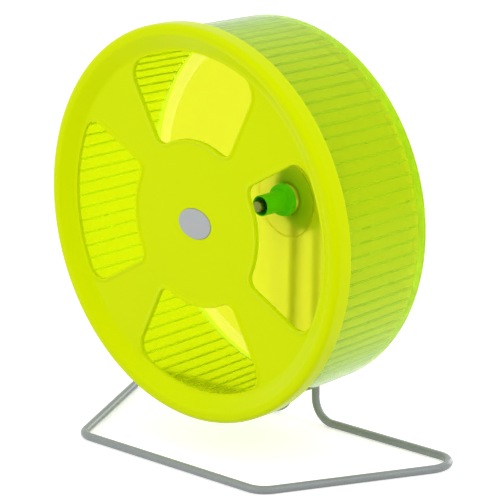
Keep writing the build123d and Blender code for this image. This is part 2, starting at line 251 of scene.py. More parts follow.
track_lime_painted_light = dyed_polystyrene("lime track with painted light", "FFE01C", "FCD80A", 0.2, 0.15)
rib_lime_painted_light = dyed_polystyrene("lime ribs with painted light", "F2F612", "E6F206", 0.52, 0.28)
skin_lime_painted_light = dyed_polystyrene("lime outer skin with painted light", "B8F602", "B0F400", 0.22, 0.11, 0.97)
wall_lime_painted_light = dyed_polystyrene("lime back wall with painted light", "E6E63C", "DCE80C", 0.3, 0.36)
fillet_lime_painted_light = dyed_polystyrene("lime fillet with painted light", "F6F2A4", "F2EE88", 0.24, 0.12)
drum_limes_painted_light = (track_lime_painted_light, rib_lime_painted_light, skin_lime_painted_light, wall_lime_painted_light, fillet_lime_painted_light)
print("made", [m.name for m in drum_limes_painted_light])

# %% [markdown]
# ## Metals and small parts
#
# The stand is steel wire with a silver-grey powder coat: a fine grainy skin with a soft shine. The
# nut, the washers, the screws and the bearings are bright steel with a fine grain. The axle's steel
# is painted darker and olive: painted shade for the hub's dark mouth round it, and a painted
# reflection of the green hub. The spacers are aluminium, the bearings' cages nylon, and the label is
# a plain plate with a satin paint. One recipe makes them all, with its own grain size for each.


# %% Make the coat, the steel and the plate
def grained_finish(name, colour, worn_colour, metallic, roughness, grain_mm, relief_mm):
    """A painted or machined finish: fine grain in colour, gloss and relief."""
    grain_strength, gloss_spread = 0.3, 0.06
    material = bpy.data.materials.new(name)
    tree = empty_tree(material)
    grain = noise(tree, grain_mm, detail=3.0)
    surface = add_node(
        tree,
        "ShaderNodeBsdfPrincipled",
        {
            "Base Color": blend(tree, grain, colour, worn_colour),
            "Roughness": around(tree, grain, roughness, gloss_spread),
            "Normal": relief(tree, grain, grain_strength, relief_mm),
            "Metallic": metallic,
        },
    )
    add_node(tree, "ShaderNodeOutputMaterial", {"Surface": surface.outputs["BSDF"]})
    return material


powder_coat = grained_finish("silver-grey powder coat", "868C8E", "929898", 0.0, 0.26, 0.8, 0.015)
bright_steel = grained_finish("turned bright steel", "B9B8B4", "C8C7C3", 1.0, 0.3, 0.6, 0.01)
# The axle's darker olive colour is painted shade from the hub's mouth and a painted reflection of the
# green hub.
axle_steel_painted_shade = grained_finish("axle steel with painted shade and reflection", "888C5C", "969A6C", 1.0, 0.34, 0.6, 0.01)
turned_aluminium = grained_finish("turned aluminium", "C4C6C8", "D2D4D6", 1.0, 0.35, 0.5, 0.01)
natural_nylon = grained_finish("natural nylon", "DAD5C4", "E2DDCC", 0.0, 0.5, 1.0, 0.01)
satin_plate = grained_finish("satin silver paint", "A6AAAC", "B0B4B6", 0.0, 0.4, 0.6, 0.005)
metals = (powder_coat, bright_steel, axle_steel_painted_shade, turned_aluminium)
print("made", [m.name for m in (*metals, natural_nylon, satin_plate)])

# %% [markdown]
# ## Outlines with round corners
#
# A moulded or turned piece is drawn as a cross-section with rounded corners. The function below
# takes the sharp corners with their radii, as a draughtsman writes them, and puts an arc on each.


# %% Round the corners of an outline
def rounded_outline(corners, arc_step=12.0):
    """Points of a closed outline. Each corner is ((across, along), radius), in millimetres."""
    points = []
    for i, (corner, radius) in enumerate(corners):
        here = Vector(corner)
        if radius == 0:
            points.append(here)
            continue
        back = (Vector(corners[i - 1][0]) - here).normalized()
        ahead = (Vector(corners[(i + 1) % len(corners)][0]) - here).normalized()
        half_angle = back.angle(ahead) / 2
        centre = here + (back + ahead).normalized() * radius / math.sin(half_angle)
        start = here + back * radius / math.tan(half_angle) - centre
        sweep = math.pi - 2 * half_angle
        turn = -math.copysign(sweep, back.x * ahead.y - back.y * ahead.x)
        steps = max(2, math.ceil(math.degrees(sweep) / arc_step))
        for k in range(steps + 1):
            points.append(centre + Matrix.Rotation(turn * k / steps, 2) @ start)
    return points


triangle = [((0, 0), 1), ((9, 0), 1), ((9, 9), 1)]
print("a triangle with round corners has", len(rounded_outline(triangle)), "points")

# %% [markdown]
# ## Shapes with Geometry Nodes
#
# Drum, hub and wire come from trees of Geometry Nodes, because a tree keeps its sizes as inputs.
# Each tree is run once on a curve, and its result is kept as a plain mesh. All trees end the same
# way: faces are smooth, edges with a sharp fold stay sharp, and materials are given out.


# %% Build trees and run them
def new_tree(name, sizes):
    """An empty geometry tree with a geometry, a material and named sizes as its inputs."""
    tree = bpy.data.node_groups.new(name, "GeometryNodeTree")
    tree.interface.new_socket("Geometry", in_out="OUTPUT", socket_type="NodeSocketGeometry")
    tree.interface.new_socket("Geometry", in_out="INPUT", socket_type="NodeSocketGeometry")
    tree.interface.new_socket("Material", in_out="INPUT", socket_type="NodeSocketMaterial")
    for size, kind in sizes.items():
        tree.interface.new_socket(size, in_out="INPUT", socket_type=kind)
    return tree, add_node(tree, "NodeGroupInput").outputs


def end_tree(tree, given, geometry, fold=30.0, parts=()):
    """The last nodes of every tree: instances made real, smooth faces, sharp folds, materials."""
    real = add_node(tree, "GeometryNodeRealizeInstances", {"Geometry": geometry})
    smooth = add_node(tree, "GeometryNodeSetShadeSmooth", {"Geometry": real.outputs["Geometry"]})
    angle = add_node(tree, "GeometryNodeInputMeshEdgeAngle")
    folded = add_node(
        tree,
        "FunctionNodeCompare",
        {"A": angle.outputs["Unsigned Angle"], "B": math.radians(fold)},
        data_type="FLOAT",
        operation="GREATER_THAN",
    )
    sharp = add_node(
        tree,
        "GeometryNodeSetShadeSmooth",
        {
            "Geometry": smooth.outputs["Geometry"],
            "Selection": folded.outputs["Result"],
            "Shade Smooth": False,
        },
        domain="EDGE",
    )
    finish = add_node(
        tree,
        "GeometryNodeSetMaterial",
        {"Geometry": sharp.outputs["Geometry"], "Material": given["Material"]},
    )
    for chosen, part_material in parts:
        finish = add_node(
            tree,
            "GeometryNodeSetMaterial",
            {
                "Geometry": finish.outputs["Geometry"],
                "Selection": chosen,
                "Material": given[part_material],
            },
        )
    add_node(tree, "NodeGroupOutput", {"Geometry": finish.outputs["Geometry"]})


def curve_of(points, closed):
    """An object that holds one poly curve through the points, in millimetres."""
    curve = bpy.data.curves.new("section", "CURVE")
    curve.dimensions = "3D"
    spline = curve.splines.new("POLY")
    spline.points.add(len(points) - 1)
    for spot, point in zip(spline.points, points):
        spot.co = (*(Vector(point).to_3d() * MM), 1)
    spline.use_cyclic_u = closed
    holder = bpy.data.objects.new("section", curve)
    bpy.context.scene.collection.objects.link(holder)
    return holder


def run_tree(name, tree, holder, material, sizes):
    """Runs a tree on an object and keeps the result as a plain mesh of that name."""
    modifier = holder.modifiers.new(tree.name, "NODES")
    modifier.node_group = tree
    values = {"Material": material, **sizes}
    for item in tree.interface.items_tree:
        if item.in_out == "INPUT" and item.name in values:
            modifier[item.identifier] = values[item.name]
    depsgraph = bpy.context.evaluated_depsgraph_get()
    mesh = bpy.data.meshes.new_from_object(holder.evaluated_get(depsgraph), depsgraph=depsgraph)
    bpy.data.objects.remove(holder)
    mesh.name = name
    piece = bpy.data.objects.new(name, mesh)
    bpy.context.scene.collection.objects.link(piece)
    return piece


print("tree helpers ready")

# %% [markdown]
# ## Turned pieces
#
# Drum and hub are bodies of revolution, as from a lathe. Their tree takes a cross-section, sweeps
# it round a circle with Curve to Mesh and stands the result on the axle. The circle has a radius of
# its own, so the section is first moved in by the same length and ends up at its true radius. Merge
# by Distance joins points that coincide.

# %% The tree that turns a section about the axle
SWEEP_RADIUS = 100.0 * MM
MERGE_DISTANCE = 0.002 * MM


def turned_nodes(tree, section, segments):
    """Nodes that sweep a section round the axle, in place. The section is (radius, depth)."""
    path = add_node(
        tree, "GeometryNodeCurvePrimitiveCircle", {"Resolution": segments, "Radius": SWEEP_RADIUS}
    )
    moved_in = add_node(
        tree, "GeometryNodeTransform", {"Geometry": section, "Translation": (-SWEEP_RADIUS, 0, 0)}
    )
    body = add_node(
        tree,
        "GeometryNodeCurveToMesh",
        {"Curve": path.outputs["Curve"], "Profile Curve": moved_in.outputs["Geometry"]},
    )
    closed = add_node(
        tree,
        "GeometryNodeMergeByDistance",
        {"Geometry": body.outputs["Mesh"], "Distance": MERGE_DISTANCE},
    )
    along_axle = (math.pi / 2, 0, 0)
    placed = add_node(
        tree,
        "GeometryNodeTransform",
        {
            "Geometry": closed.outputs["Geometry"],
            "Rotation": along_axle,
            "Translation": axle_place,
        },
    )
    return placed.outputs["Geometry"]


turned_tree, given = new_tree("turned piece", {"Segments": "NodeSocketInt"})
end_tree(turned_tree, given, turned_nodes(turned_tree, given["Geometry"], given["Segments"]))


def turned_piece(name, corners, material, segments=96):
    """A piece turned about the axle from its rounded cross-section."""
    holder = curve_of(rounded_outline(corners), True)
    return run_tree(name, turned_tree, holder, material, {"Segments": segments})


print("turned tree has", len(turned_tree.nodes), "nodes")

# %% [markdown]
# ## Handing a piece over
#
# A finished shape takes the place of its engineered piece and turns with its body. A moulding
# encloses a volume, so its mesh must have no open edge: the volume and the number of open edges are
# printed.


# %% Register a finished piece
def dress(piece, node, body):
    """The piece stands for a CAD node and rides on its body. The print shows if it is closed."""
    solid = bmesh.new()
    solid.from_mesh(piece.data)
    volume = solid.calc_volume(signed=True) / MM**3
    open_edges = sum(not edge.is_manifold for edge in solid.edges)
    solid.free()
    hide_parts(node)
    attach(piece, body)
    faces = len(piece.data.polygons)
    print(f"{piece.name}: {faces} faces, {volume / 1000:.1f} cm3, {open_edges} open edges")


# %% [markdown]
# ## The drum
#
# On the real wheel, track, back and collar are one moulding. Ninety thin ribs across the track give
# the feet a hold. The section is drawn first, with the corner radii of the mould.

# %% Draw the drum's section
cover_wall = 2.6
cover_skirt_depth = 14.0
drum_wall = 2.5
drum_front_radius = 134.6
drum_back_radius = 131.9
drum_depth = 99.0
drum_corner_radius = 3.0
band_width, band_depth = 9.9, 5.5
collar_gap = 0.3
collar_radius = wheel_radius - cover_wall - collar_gap
collar_start, collar_end = 6.0, 16.0
track_start = collar_end - drum_wall
track_front_radius = drum_front_radius - drum_wall
track_back_radius = drum_back_radius - drum_wall
back_inside = drum_depth - drum_wall
band_start = back_inside - band_depth
pad_radius = 27.7
pad_front, pad_back = 95.5, 101.0
pad_edge_radius = 0.4
hub_radius, hub_gap = 11.3, 0.05
hub_hole_radius = hub_radius + hub_gap
inner_corner_radius = drum_corner_radius - drum_wall
drum_section = [
    ((collar_radius - drum_wall, collar_start), 0.4),
    ((collar_radius, collar_start), 1.2),
    ((collar_radius, collar_end), 0.4),
    ((drum_front_radius, collar_end), 0.5),
    ((drum_back_radius, drum_depth), drum_corner_radius),
    ((pad_radius, drum_depth), pad_edge_radius),
    ((pad_radius, pad_back), pad_edge_radius),
    ((hub_hole_radius, pad_back), 0),
    ((hub_hole_radius, pad_front), 0),
    ((pad_radius, pad_front), pad_edge_radius),
    ((pad_radius, back_inside), pad_edge_radius),
    ((track_back_radius - band_width, back_inside), inner_corner_radius),
    ((track_back_radius, band_start), inner_corner_radius),
    ((track_front_radius, track_start), 0.3),
    ((collar_radius - drum_wall, track_start), 0.3),
]
print("drum section has", len(rounded_outline(drum_section)), "points")

# %% [markdown]
# ## The drum's ribs
#
# The section is turned. One rib is drawn as a bar with round edges and copied round the axle by
# instances. A boolean union melts the ribs into the wall, so that light meets no inner skins where
# a rib crosses it. The ribs are marked before, so that they can still be told apart after.

# %% Build the drum's tree
drum_sizes = {
    "Segments": "NodeSocketInt",
    "Rib Count": "NodeSocketInt",
    "Rib Width": "NodeSocketFloat",
    "Rib Depth": "NodeSocketFloat",
    "Rib Edge Radius": "NodeSocketFloat",
    "Rib Start": "NodeSocketVector",
    "Rib End": "NodeSocketVector",
    "Rib Material": "NodeSocketMaterial",
    "Skin Radius": "NodeSocketFloat",
    "Skin Material": "NodeSocketMaterial",
    "Fillet Start": "NodeSocketFloat",
    "Fillet Material": "NodeSocketMaterial",
    "Wall Material": "NodeSocketMaterial",
}
drum_tree, given = new_tree("ribbed drum", drum_sizes)
shell = turned_nodes(drum_tree, given["Geometry"], given["Segments"])
rib_line = add_node(
    drum_tree,
    "GeometryNodeCurvePrimitiveLine",
    {"Start": given["Rib Start"], "End": given["Rib End"]},
)
rib_block = add_node(
    drum_tree,
    "GeometryNodeCurvePrimitiveQuadrilateral",
    {"Width": given["Rib Width"], "Height": given["Rib Depth"]},
)
rib_section = add_node(
    drum_tree,
    "GeometryNodeFilletCurve",
    {"Curve": rib_block.outputs["Curve"], "Count": 3, "Radius": given["Rib Edge Radius"]},
    mode="POLY",
)
rib = add_node(
    drum_tree,
    "GeometryNodeCurveToMesh",
    {
        "Curve": rib_line.outputs["Curve"],
        "Profile Curve": rib_section.outputs["Curve"],
        "Fill Caps": True,
    },
)
rib_spots = add_node(drum_tree, "GeometryNodePoints", {"Count": given["Rib Count"]})
rib_number = add_node(drum_tree, "GeometryNodeInputIndex")
full_turn = add_node(
    drum_tree, "ShaderNodeMath", {0: rib_number.outputs["Index"], 1: math.tau}, operation="MULTIPLY"
)
rib_angle = add_node(
    drum_tree, "ShaderNodeMath", {0: full_turn.outputs[0], 1: given["Rib Count"]}, operation="DIVIDE"
)
rib_turn = add_node(drum_tree, "ShaderNodeCombineXYZ", {"Y": rib_angle.outputs[0]})
ribs = add_node(
    drum_tree,
    "GeometryNodeInstanceOnPoints",
    {
        "Points": rib_spots.outputs["Geometry"],
        "Instance": rib.outputs["Mesh"],
        "Rotation": rib_turn.outputs["Vector"],
    },
)
real_ribs = add_node(drum_tree, "GeometryNodeRealizeInstances", {"Geometry": ribs.outputs["Instances"]})
marked_ribs = add_node(
    drum_tree,
    "GeometryNodeStoreNamedAttribute",
    {"Geometry": real_ribs.outputs["Geometry"], "Name": "rib", "Value": True},
    data_type="BOOLEAN",
    domain="FACE",
)
placed_ribs = add_node(
    drum_tree,
    "GeometryNodeTransform",
    {"Geometry": marked_ribs.outputs["Geometry"], "Translation": axle_place},
)
melted = add_node(
    drum_tree,
    "GeometryNodeMeshBoolean",
    {1: [shell, placed_ribs.outputs["Geometry"]]},
    operation="UNION",
    solver="MANIFOLD",
)
on_rib = add_node(drum_tree, "GeometryNodeInputNamedAttribute", {"Name": "rib"}, data_type="BOOLEAN")
print("drum tree has", len(drum_tree.nodes), "nodes so far")

# %% [markdown]
# ## Which painted look goes where
#
# The five looks of the drum's plastic, each with its painted light and shade, are given out by place
# and direction. A face far out that faces away from the axle is outer skin. At the back, a face that
# looks along the axle is back wall and one that looks inward is fillet. The marked faces are ribs,
# and the rest is track.


# %% Choose each face's painted look
def drum_test(operation, value, limit):
    """A choice of faces: those whose value is on one side of a limit."""
    values = {"A": value, "B": limit}
    return add_node(
        drum_tree, "FunctionNodeCompare", values, data_type="FLOAT", operation=operation
    ).outputs["Result"]


# Outward is a face's radius in metres times how squarely the face looks away from the axle.
flat_limit, inward_limit = 0.95, -0.02
face_place = add_node(drum_tree, "GeometryNodeInputPosition")
from_axle = add_node(
    drum_tree,
    "ShaderNodeVectorMath",
    {0: face_place.outputs["Position"], 1: axle_place},
    operation="SUBTRACT",
)
radial = add_node(
    drum_tree,
    "ShaderNodeVectorMath",
    {0: from_axle.outputs["Vector"], 1: (1, 0, 1)},
    operation="MULTIPLY",
)
facing = add_node(drum_tree, "GeometryNodeInputNormal")
outward = add_node(
    drum_tree,
    "ShaderNodeVectorMath",
    {0: radial.outputs["Vector"], 1: facing.outputs["Normal"]},
    operation="DOT_PRODUCT",
)
depth = add_node(drum_tree, "ShaderNodeSeparateXYZ", {"Vector": from_axle.outputs["Vector"]})
facing_parts = add_node(drum_tree, "ShaderNodeSeparateXYZ", {"Vector": facing.outputs["Normal"]})
steep = add_node(drum_tree, "ShaderNodeMath", {0: facing_parts.outputs["Y"]}, operation="ABSOLUTE")
on_skin = drum_test("GREATER_THAN", outward.outputs["Value"], given["Skin Radius"])
at_back = drum_test("GREATER_THAN", depth.outputs["Y"], given["Fillet Start"])
on_face = drum_test("GREATER_THAN", steep.outputs[0], flat_limit)
inward_facing = drum_test("LESS_THAN", outward.outputs["Value"], inward_limit)
on_wall = add_node(drum_tree, "FunctionNodeBooleanMath", {0: at_back, 1: on_face}, operation="AND")
on_fillet = add_node(
    drum_tree, "FunctionNodeBooleanMath", {0: at_back, 1: inward_facing}, operation="AND"
)
drum_parts = [
    (on_skin, "Skin Material"),
    (on_wall.outputs["Boolean"], "Wall Material"),
    (on_fillet.outputs["Boolean"], "Fillet Material"),
    (on_rib.outputs["Attribute"], "Rib Material"),
]
end_tree(drum_tree, given, melted.outputs["Mesh"], parts=drum_parts)
print("drum tree has", len(drum_tree.nodes), "nodes")

# %% [markdown]
# ## The drum in its sizes
#
# The tree now runs once with the real sizes. A rib is a little over one millimetre wide and high.
# It is rooted in the wall, and its rear end reaches a little into the fillet, so no gap shows there.

# %% Make the drum
rib_height, rib_width, rib_edge = 1.2, 1.2, 0.35
rib_count, drum_segments = 90, 240
rib_root = drum_wall / 2
rib_front_gap, rib_overlap = 0.2, 0.6
rib_start_depth = track_start + rib_front_gap
rib_end_depth = band_start + rib_overlap
rib_middle = (rib_root - rib_height) / 2
skin_share = 0.6
# Track, ribs, skin, back wall and fillet get the copies with their painted light and shade.
drum = run_tree(
    "ribbed_drum",
    drum_tree,
    curve_of(rounded_outline(drum_section), True),
    track_lime_painted_light,
    {
        "Segments": drum_segments,
        "Rib Count": rib_count,
        "Rib Width": rib_width * MM,
        "Rib Depth": (rib_height + rib_root) * MM,
        "Rib Edge Radius": rib_edge * MM,
        "Rib Start": Vector((0, rib_start_depth, track_front_radius + rib_middle)) * MM,
        "Rib End": Vector((0, rib_end_depth, track_back_radius + rib_middle)) * MM,
        "Rib Material": rib_lime_painted_light,
        "Skin Radius": skin_share * drum_back_radius * MM,
        "Skin Material": skin_lime_painted_light,
        "Fillet Start": band_start * MM,
        "Fillet Material": fillet_lime_painted_light,
        "Wall Material": wall_lime_painted_light,
    },
)
drum_materials = [0] * len(drum.data.materials)
for face in drum.data.polygons:
    drum_materials[face.material_index] += 1
print("faces per material:", dict(zip((m.name for m in drum.data.materials), drum_materials)))
dress(drum, "drum", "wheel")

# %% [markdown]
# ## The front cover
#
# The cover is a flat face set back behind a rolled rim, with four windows whose edges carry a soft
# raised bead. A lathe would give the rim but not the windows, so the mesh is put together from rows
# of points: rings for the rim, rows that follow each window's outline for its bead, and two flat
# plates that join them. The rows at the plates get the plate's exact shading direction. All rows
# share their points, so the cover is one closed skin.


# %% Rows and plates of a mesh
def add_row(mesh, points):
    """A row of vertices through points that are already (x, depth, z), in millimetres."""
    return [mesh.verts.new(to_axle @ Vector(point)) for point in points]


def join_rows(mesh, rows):
    """Quads between neighbouring closed rows of equal length."""
    for row, other in zip(rows, rows[1:]):
        for i in range(len(row)):
            k = (i + 1) % len(row)
            mesh.faces.new((row[i], row[k], other[k], other[i]))


def fill_plate(mesh, border, holes):
    """A flat plate inside a border row, open at the hole rows."""
    rows = [border, *holes]
    corners = [vertex for row in rows for vertex in row]
    for triangle in tessellate_polygon([[vertex.co for vertex in row] for row in rows]):
        mesh.faces.new([corners[i] for i in triangle])


def finish_mesh(name, mesh, material, fold=30.0, flat_rows=()):
    """Turns a bmesh into an object: faces outward, smooth but for sharp folds, exact in flat rows."""
    bmesh.ops.recalc_face_normals(mesh, faces=mesh.faces)
    for face in mesh.faces:
        face.smooth = True
    mesh.verts.index_update()
    normals = [(0.0, 0.0, 0.0)] * len(mesh.verts)
    for row, facing in flat_rows:
        for vertex in row:
            normals[vertex.index] = (0.0, facing, 0.0)
    data = bpy.data.meshes.new(name)
    mesh.to_mesh(data)
    mesh.free()
    data.set_sharp_from_angle(angle=math.radians(fold))
    if flat_rows:
        data.normals_split_custom_set_from_vertices(normals)
    data.materials.append(material)
    piece = bpy.data.objects.new(name, data)
    bpy.context.scene.collection.objects.link(piece)
    return piece


print("mesh helpers ready")

# %% [markdown]
# ## The cover's section
#
# The rim rolls over from the skirt to the crest and slopes down to the set-back face. Behind it the
# wall keeps its thickness, so the inner corners have the outer radii less or plus that thickness.
# The groove in the skirt is for the snap fit on the drum's collar.

# %% Draw the cover's section
face_depth = 7.0
foot_inset, crest_inset = 17.8, 7.4
foot_radius, crest_radius = wheel_radius - foot_inset, wheel_radius - crest_inset
blend_radius, shoulder_radius = 5.0, 3.6
slope_rise = face_depth / math.hypot(crest_radius - foot_radius, face_depth)
slope_run = math.sqrt(1 - slope_rise**2)
inner_shift = cover_wall * (1 - slope_run) / slope_rise
face_back = face_depth + cover_wall
skirt_radius = wheel_radius - cover_wall
groove_start, groove_end, groove_depth = 9.5, 11.5, 0.7
groove_radius = collar_radius + groove_depth
cover_section = [
    ((0, face_depth), 0),
    ((foot_radius, face_depth), blend_radius),
    ((crest_radius, 0), blend_radius),
    ((wheel_radius, 0), shoulder_radius),
    ((wheel_radius, cover_skirt_depth), 0.5),
    ((skirt_radius, cover_skirt_depth), 0.3),
    ((skirt_radius, groove_end), 0),
    ((groove_radius, groove_end), 0),
    ((groove_radius, groove_start), 0),
    ((skirt_radius, groove_start), 0),
    ((skirt_radius, cover_wall), shoulder_radius - cover_wall),
    ((crest_radius + inner_shift, cover_wall), blend_radius - cover_wall),
    ((foot_radius + inner_shift, face_back), blend_radius + cover_wall),
    ((0, face_back), 0),
]
rim_arc_step, slope_gap = 8.0, 0.02
rim = rounded_outline(cover_section, rim_arc_step)[1:-1]
free_radius = min(rim[0].x, rim[-1].x) - slope_gap
print("the rim's slope starts at radius", round(free_radius, 2))

# %% [markdown]
# ## The windows
#
# A window is bounded by an inner and an outer arc about the axle and by two straight sides that
# open outward, with round corners. Half of it is drawn and mirrored. Each point knows its direction
# out of the window and how much room it has there, because the rim's slope leaves the bead little
# room along the window's outer edge, where it fades out.


# %% Draw a window's outline
def arc_points(centre, radius, start, end, outward, step=5.0):
    """Points on an arc with their directions out of the window. Angles are in radians."""
    steps = max(2, math.ceil(abs(math.degrees(end - start)) / step))
    found = []
    for k in range(steps + 1):
        angle = start + (end - start) * k / steps
        ray = Vector((math.cos(angle), math.sin(angle)))
        found.append((centre + ray * radius, ray * outward))
    return found


def corner_centre(start, along, inward, radius, reach):
    """Centre of a corner arc that touches the side and lies at a reach from the axle."""
    base = start + inward * radius
    across = base.dot(along)
    return base + along * (math.sqrt(across**2 - base.length_squared + reach**2) - across)


def room_at(point, out, reach):
    """How much of a reach outward stays on the flat face, from 0 to 1."""
    across = point.dot(out)
    free = math.sqrt(across**2 - point.length_squared + free_radius**2) - across
    return min(1.0, free / reach)


bead_reach = 3.4
window_inner_radius, window_outer_radius = 59.2, 120.5
window_inner_half, window_outer_half = 32.75, 62.05
inner_corner, outer_corner = 8.0, 13.0
side_start = Vector((window_inner_half, math.sqrt(window_inner_radius**2 - window_inner_half**2)))
side_end = Vector((window_outer_half, math.sqrt(window_outer_radius**2 - window_outer_half**2)))
along = (side_end - side_start).normalized()
inward = Vector((-along.y, along.x))
inner_reach = window_inner_radius + inner_corner
outer_reach = window_outer_radius - outer_corner
inner_centre = corner_centre(side_start, along, inward, inner_corner, inner_reach)
outer_centre = corner_centre(side_start, along, inward, outer_corner, outer_reach)
upright = math.pi / 2
side_angle = math.atan2(-inward.y, -inward.x)
inner_angle = math.atan2(inner_centre.y, inner_centre.x)
outer_angle = math.atan2(outer_centre.y, outer_centre.x)
axis_point = Vector((0, 0))
half_window = (
    arc_points(axis_point, window_inner_radius, upright, inner_angle, -1)
    + arc_points(inner_centre, inner_corner, inner_angle - math.pi, side_angle, 1, 12.0)[1:]
    + arc_points(outer_centre, outer_corner, side_angle, outer_angle, 1, 6.0)
    + arc_points(axis_point, window_outer_radius, outer_angle, upright, 1)[1:]
)
mirrored = [(Vector((-p.x, p.y)), Vector((-n.x, n.y))) for p, n in reversed(half_window[1:-1])]
window_outline = [(p, n, room_at(p, n, bead_reach)) for p, n in half_window + mirrored]
print("window outline has", len(window_outline), "points")

# %% [markdown]
# ## Rows for rim and windows
#
# The bead is a stack of rows: each lies a little further out of the window and has its own rise
# above the face. The same outline, turned by a quarter each time, gives the four windows.


# %% Build the rim and the windows
def outline_row(mesh, outline, turn, offset, depth, rise=0.0):
    """A row that follows an outline about the axle. Offset and rise shrink where room is short."""
    row = []
    for point, out, room in outline:
        spot = Matrix.Rotation(turn, 2) @ (point + out * offset * room)
        row.append((spot.x, depth - rise * room, spot.y))
    return add_row(mesh, row)


def ring_row(mesh, radius, depth, segments):
    """A round row about the axle."""
    turns = [math.tau * i / segments for i in range(segments)]
    return add_row(mesh, [(radius * math.cos(t), depth, radius * math.sin(t)) for t in turns])


flat_margin = 0.5
back_edge = 0.25
bead_rows = [
    (back_edge + flat_margin, face_back, 0.0),
    (back_edge, face_back, 0.0),
    (0.0, face_back, back_edge),
    (0.0, face_depth, 0.25),
    (0.1, face_depth, 0.55),
    (0.4, face_depth, 0.8),
    (0.9, face_depth, 0.9),
    (1.5, face_depth, 0.82),
    (2.1, face_depth, 0.55),
    (2.6, face_depth, 0.22),
    (3.1, face_depth, 0.04),
    (bead_reach, face_depth, 0.0),
]
window_count = 4
rim_segments = 240
cover_mesh = bmesh.new()
rim_rows = [ring_row(cover_mesh, point.x, point.y, rim_segments) for point in rim]
join_rows(cover_mesh, rim_rows)
front_holes, back_holes = [], []
for i in range(window_count):
    turn = math.tau * i / window_count
    rows = [outline_row(cover_mesh, window_outline, turn, *place) for place in bead_rows]
    join_rows(cover_mesh, rows)
    back_holes.append(rows[0])
    front_holes.append(rows[-1])
print("cover mesh has", len(cover_mesh.verts), "points so far")

# %% [markdown]
# ## The label's pocket
#
# The label lies in a shallow oval pocket. Its rows use the same function as the windows, and then
# the two plates close the cover.

# %% Add the pocket and close the cover
label_half_width, label_half_height = 15.5, 10.7
label_segments = 64
label_turns = [math.tau * i / label_segments for i in range(label_segments)]
label_oval = []
for turn in label_turns:
    point = Vector((label_half_width * math.cos(turn), label_half_height * math.sin(turn)))
    out = Vector((label_half_height * math.cos(turn), label_half_width * math.sin(turn))).normalized()
    label_oval.append((point, out, 1.0))
pocket_depth, pocket_gap = 0.6, 0.15
pocket_edge, pocket_floor_edge = 0.15, 0.1
pocket_rows = [
    outline_row(cover_mesh, label_oval, 0, offset, face_depth + depth)
    for offset, depth in (
        (pocket_gap - pocket_floor_edge, pocket_depth),
        (pocket_gap, pocket_depth - pocket_floor_edge),
        (pocket_gap, pocket_edge),
        (pocket_gap + pocket_edge, 0),
        (pocket_gap + pocket_edge + flat_margin, 0),
    )
]
join_rows(cover_mesh, pocket_rows)
fill_plate(cover_mesh, pocket_rows[0], [])
fill_plate(cover_mesh, rim_rows[0], [*front_holes, pocket_rows[-1]])
fill_plate(cover_mesh, rim_rows[-1], back_holes)
front_flats = [(row, -1.0) for row in (rim_rows[0], *front_holes, pocket_rows[-1])]
back_flats = [(row, 1.0) for row in (rim_rows[-1], *back_holes)]
cover = finish_mesh("windowed_cover", cover_mesh, lime_abs, flat_rows=front_flats + back_flats)
dress(cover, "front_cover", "wheel")

# %% [markdown]
# ## The label plate
#
# A small oval plate sits in a pocket at the cover's centre. It is bare: satin silver paint on a
# slightly crowned face.

# %% Make the label plate
label_thickness, label_back_edge = 1.4, 0.2
label_back = face_depth + pocket_depth
label_face = label_back - label_thickness
plate_mesh = bmesh.new()
plate_rows = [
    outline_row(plate_mesh, label_oval, 0, offset, depth)
    for offset, depth in (
        (-label_back_edge, label_back),
        (0.0, label_back - label_back_edge),
        (0.0, label_face + 0.5),
        (-0.12, label_face + 0.25),
        (-0.4, label_face + 0.1),
        (-1.2, label_face + 0.03),
        (-2.5, label_face),
    )
]
join_rows(plate_mesh, plate_rows)
fill_plate(plate_mesh, plate_rows[0], [])
fill_plate(plate_mesh, plate_rows[-1], [])
label = finish_mesh("oval_label", plate_mesh, satin_plate)
dress(label, "label_plate", "wheel")

# %% [markdown]
# ## The hub
#
# The hub is pushed through the drum's back from behind, up to its flange. Its barrel holds the
# bearings, and a narrower tube reaches forward round the axle's end. It is one turned shape.

# %% Make the hub
tube_radius, bore_radius, seat_radius, flange_radius = 7.5, 6.5, 8.05, 12.3
barrel_ahead, tube_length, front_wall = 4.6, 19.7, 2.1
bearings_length, rear_lip, flange_thickness = 18.0, 0.5, 2.5
snap_height, snap_start, snap_end = 0.6, 1.0, 0.1
shoulder_depth = pad_front - barrel_ahead
mouth_depth = shoulder_depth - tube_length
bearing_seat = shoulder_depth + front_wall
bearing_end = bearing_seat + bearings_length
hub_end = bearing_end + rear_lip
flange_end = pad_back + flange_thickness
hub_section = [
    ((bore_radius, mouth_depth), 0.4),
    ((tube_radius, mouth_depth), 0.4),
    ((tube_radius, shoulder_depth), 1.2),
    ((hub_radius, shoulder_depth), 0.7),
    ((hub_radius, pad_front - snap_start), 0),
    ((hub_radius + snap_height, pad_front - snap_end), 0),
    ((hub_radius, pad_front - snap_end), 0),
    ((hub_radius, pad_back), 0),
    ((flange_radius, pad_back), 0),
    ((flange_radius, flange_end), 0.6),
    ((hub_radius, flange_end), 0.3),
    ((hub_radius, hub_end), 0.4),
    ((seat_radius, hub_end), 0),
    ((seat_radius, bearing_seat), 0),
    ((bore_radius, bearing_seat), 0),
]
hub = turned_piece("stepped_hub", hub_section, green_abs)
dress(hub, "hub", "wheel")

# %% [markdown]
# ## The wire stand
#
# One steel wire makes both posts and the whole base. Its route is a line whose corners carry their
# own bend radius, as a bending machine is set: tighter in front, wider at the posts. A Fillet Curve
# node bends it, and Curve to Mesh gives it the wire's thickness, with flat ends.

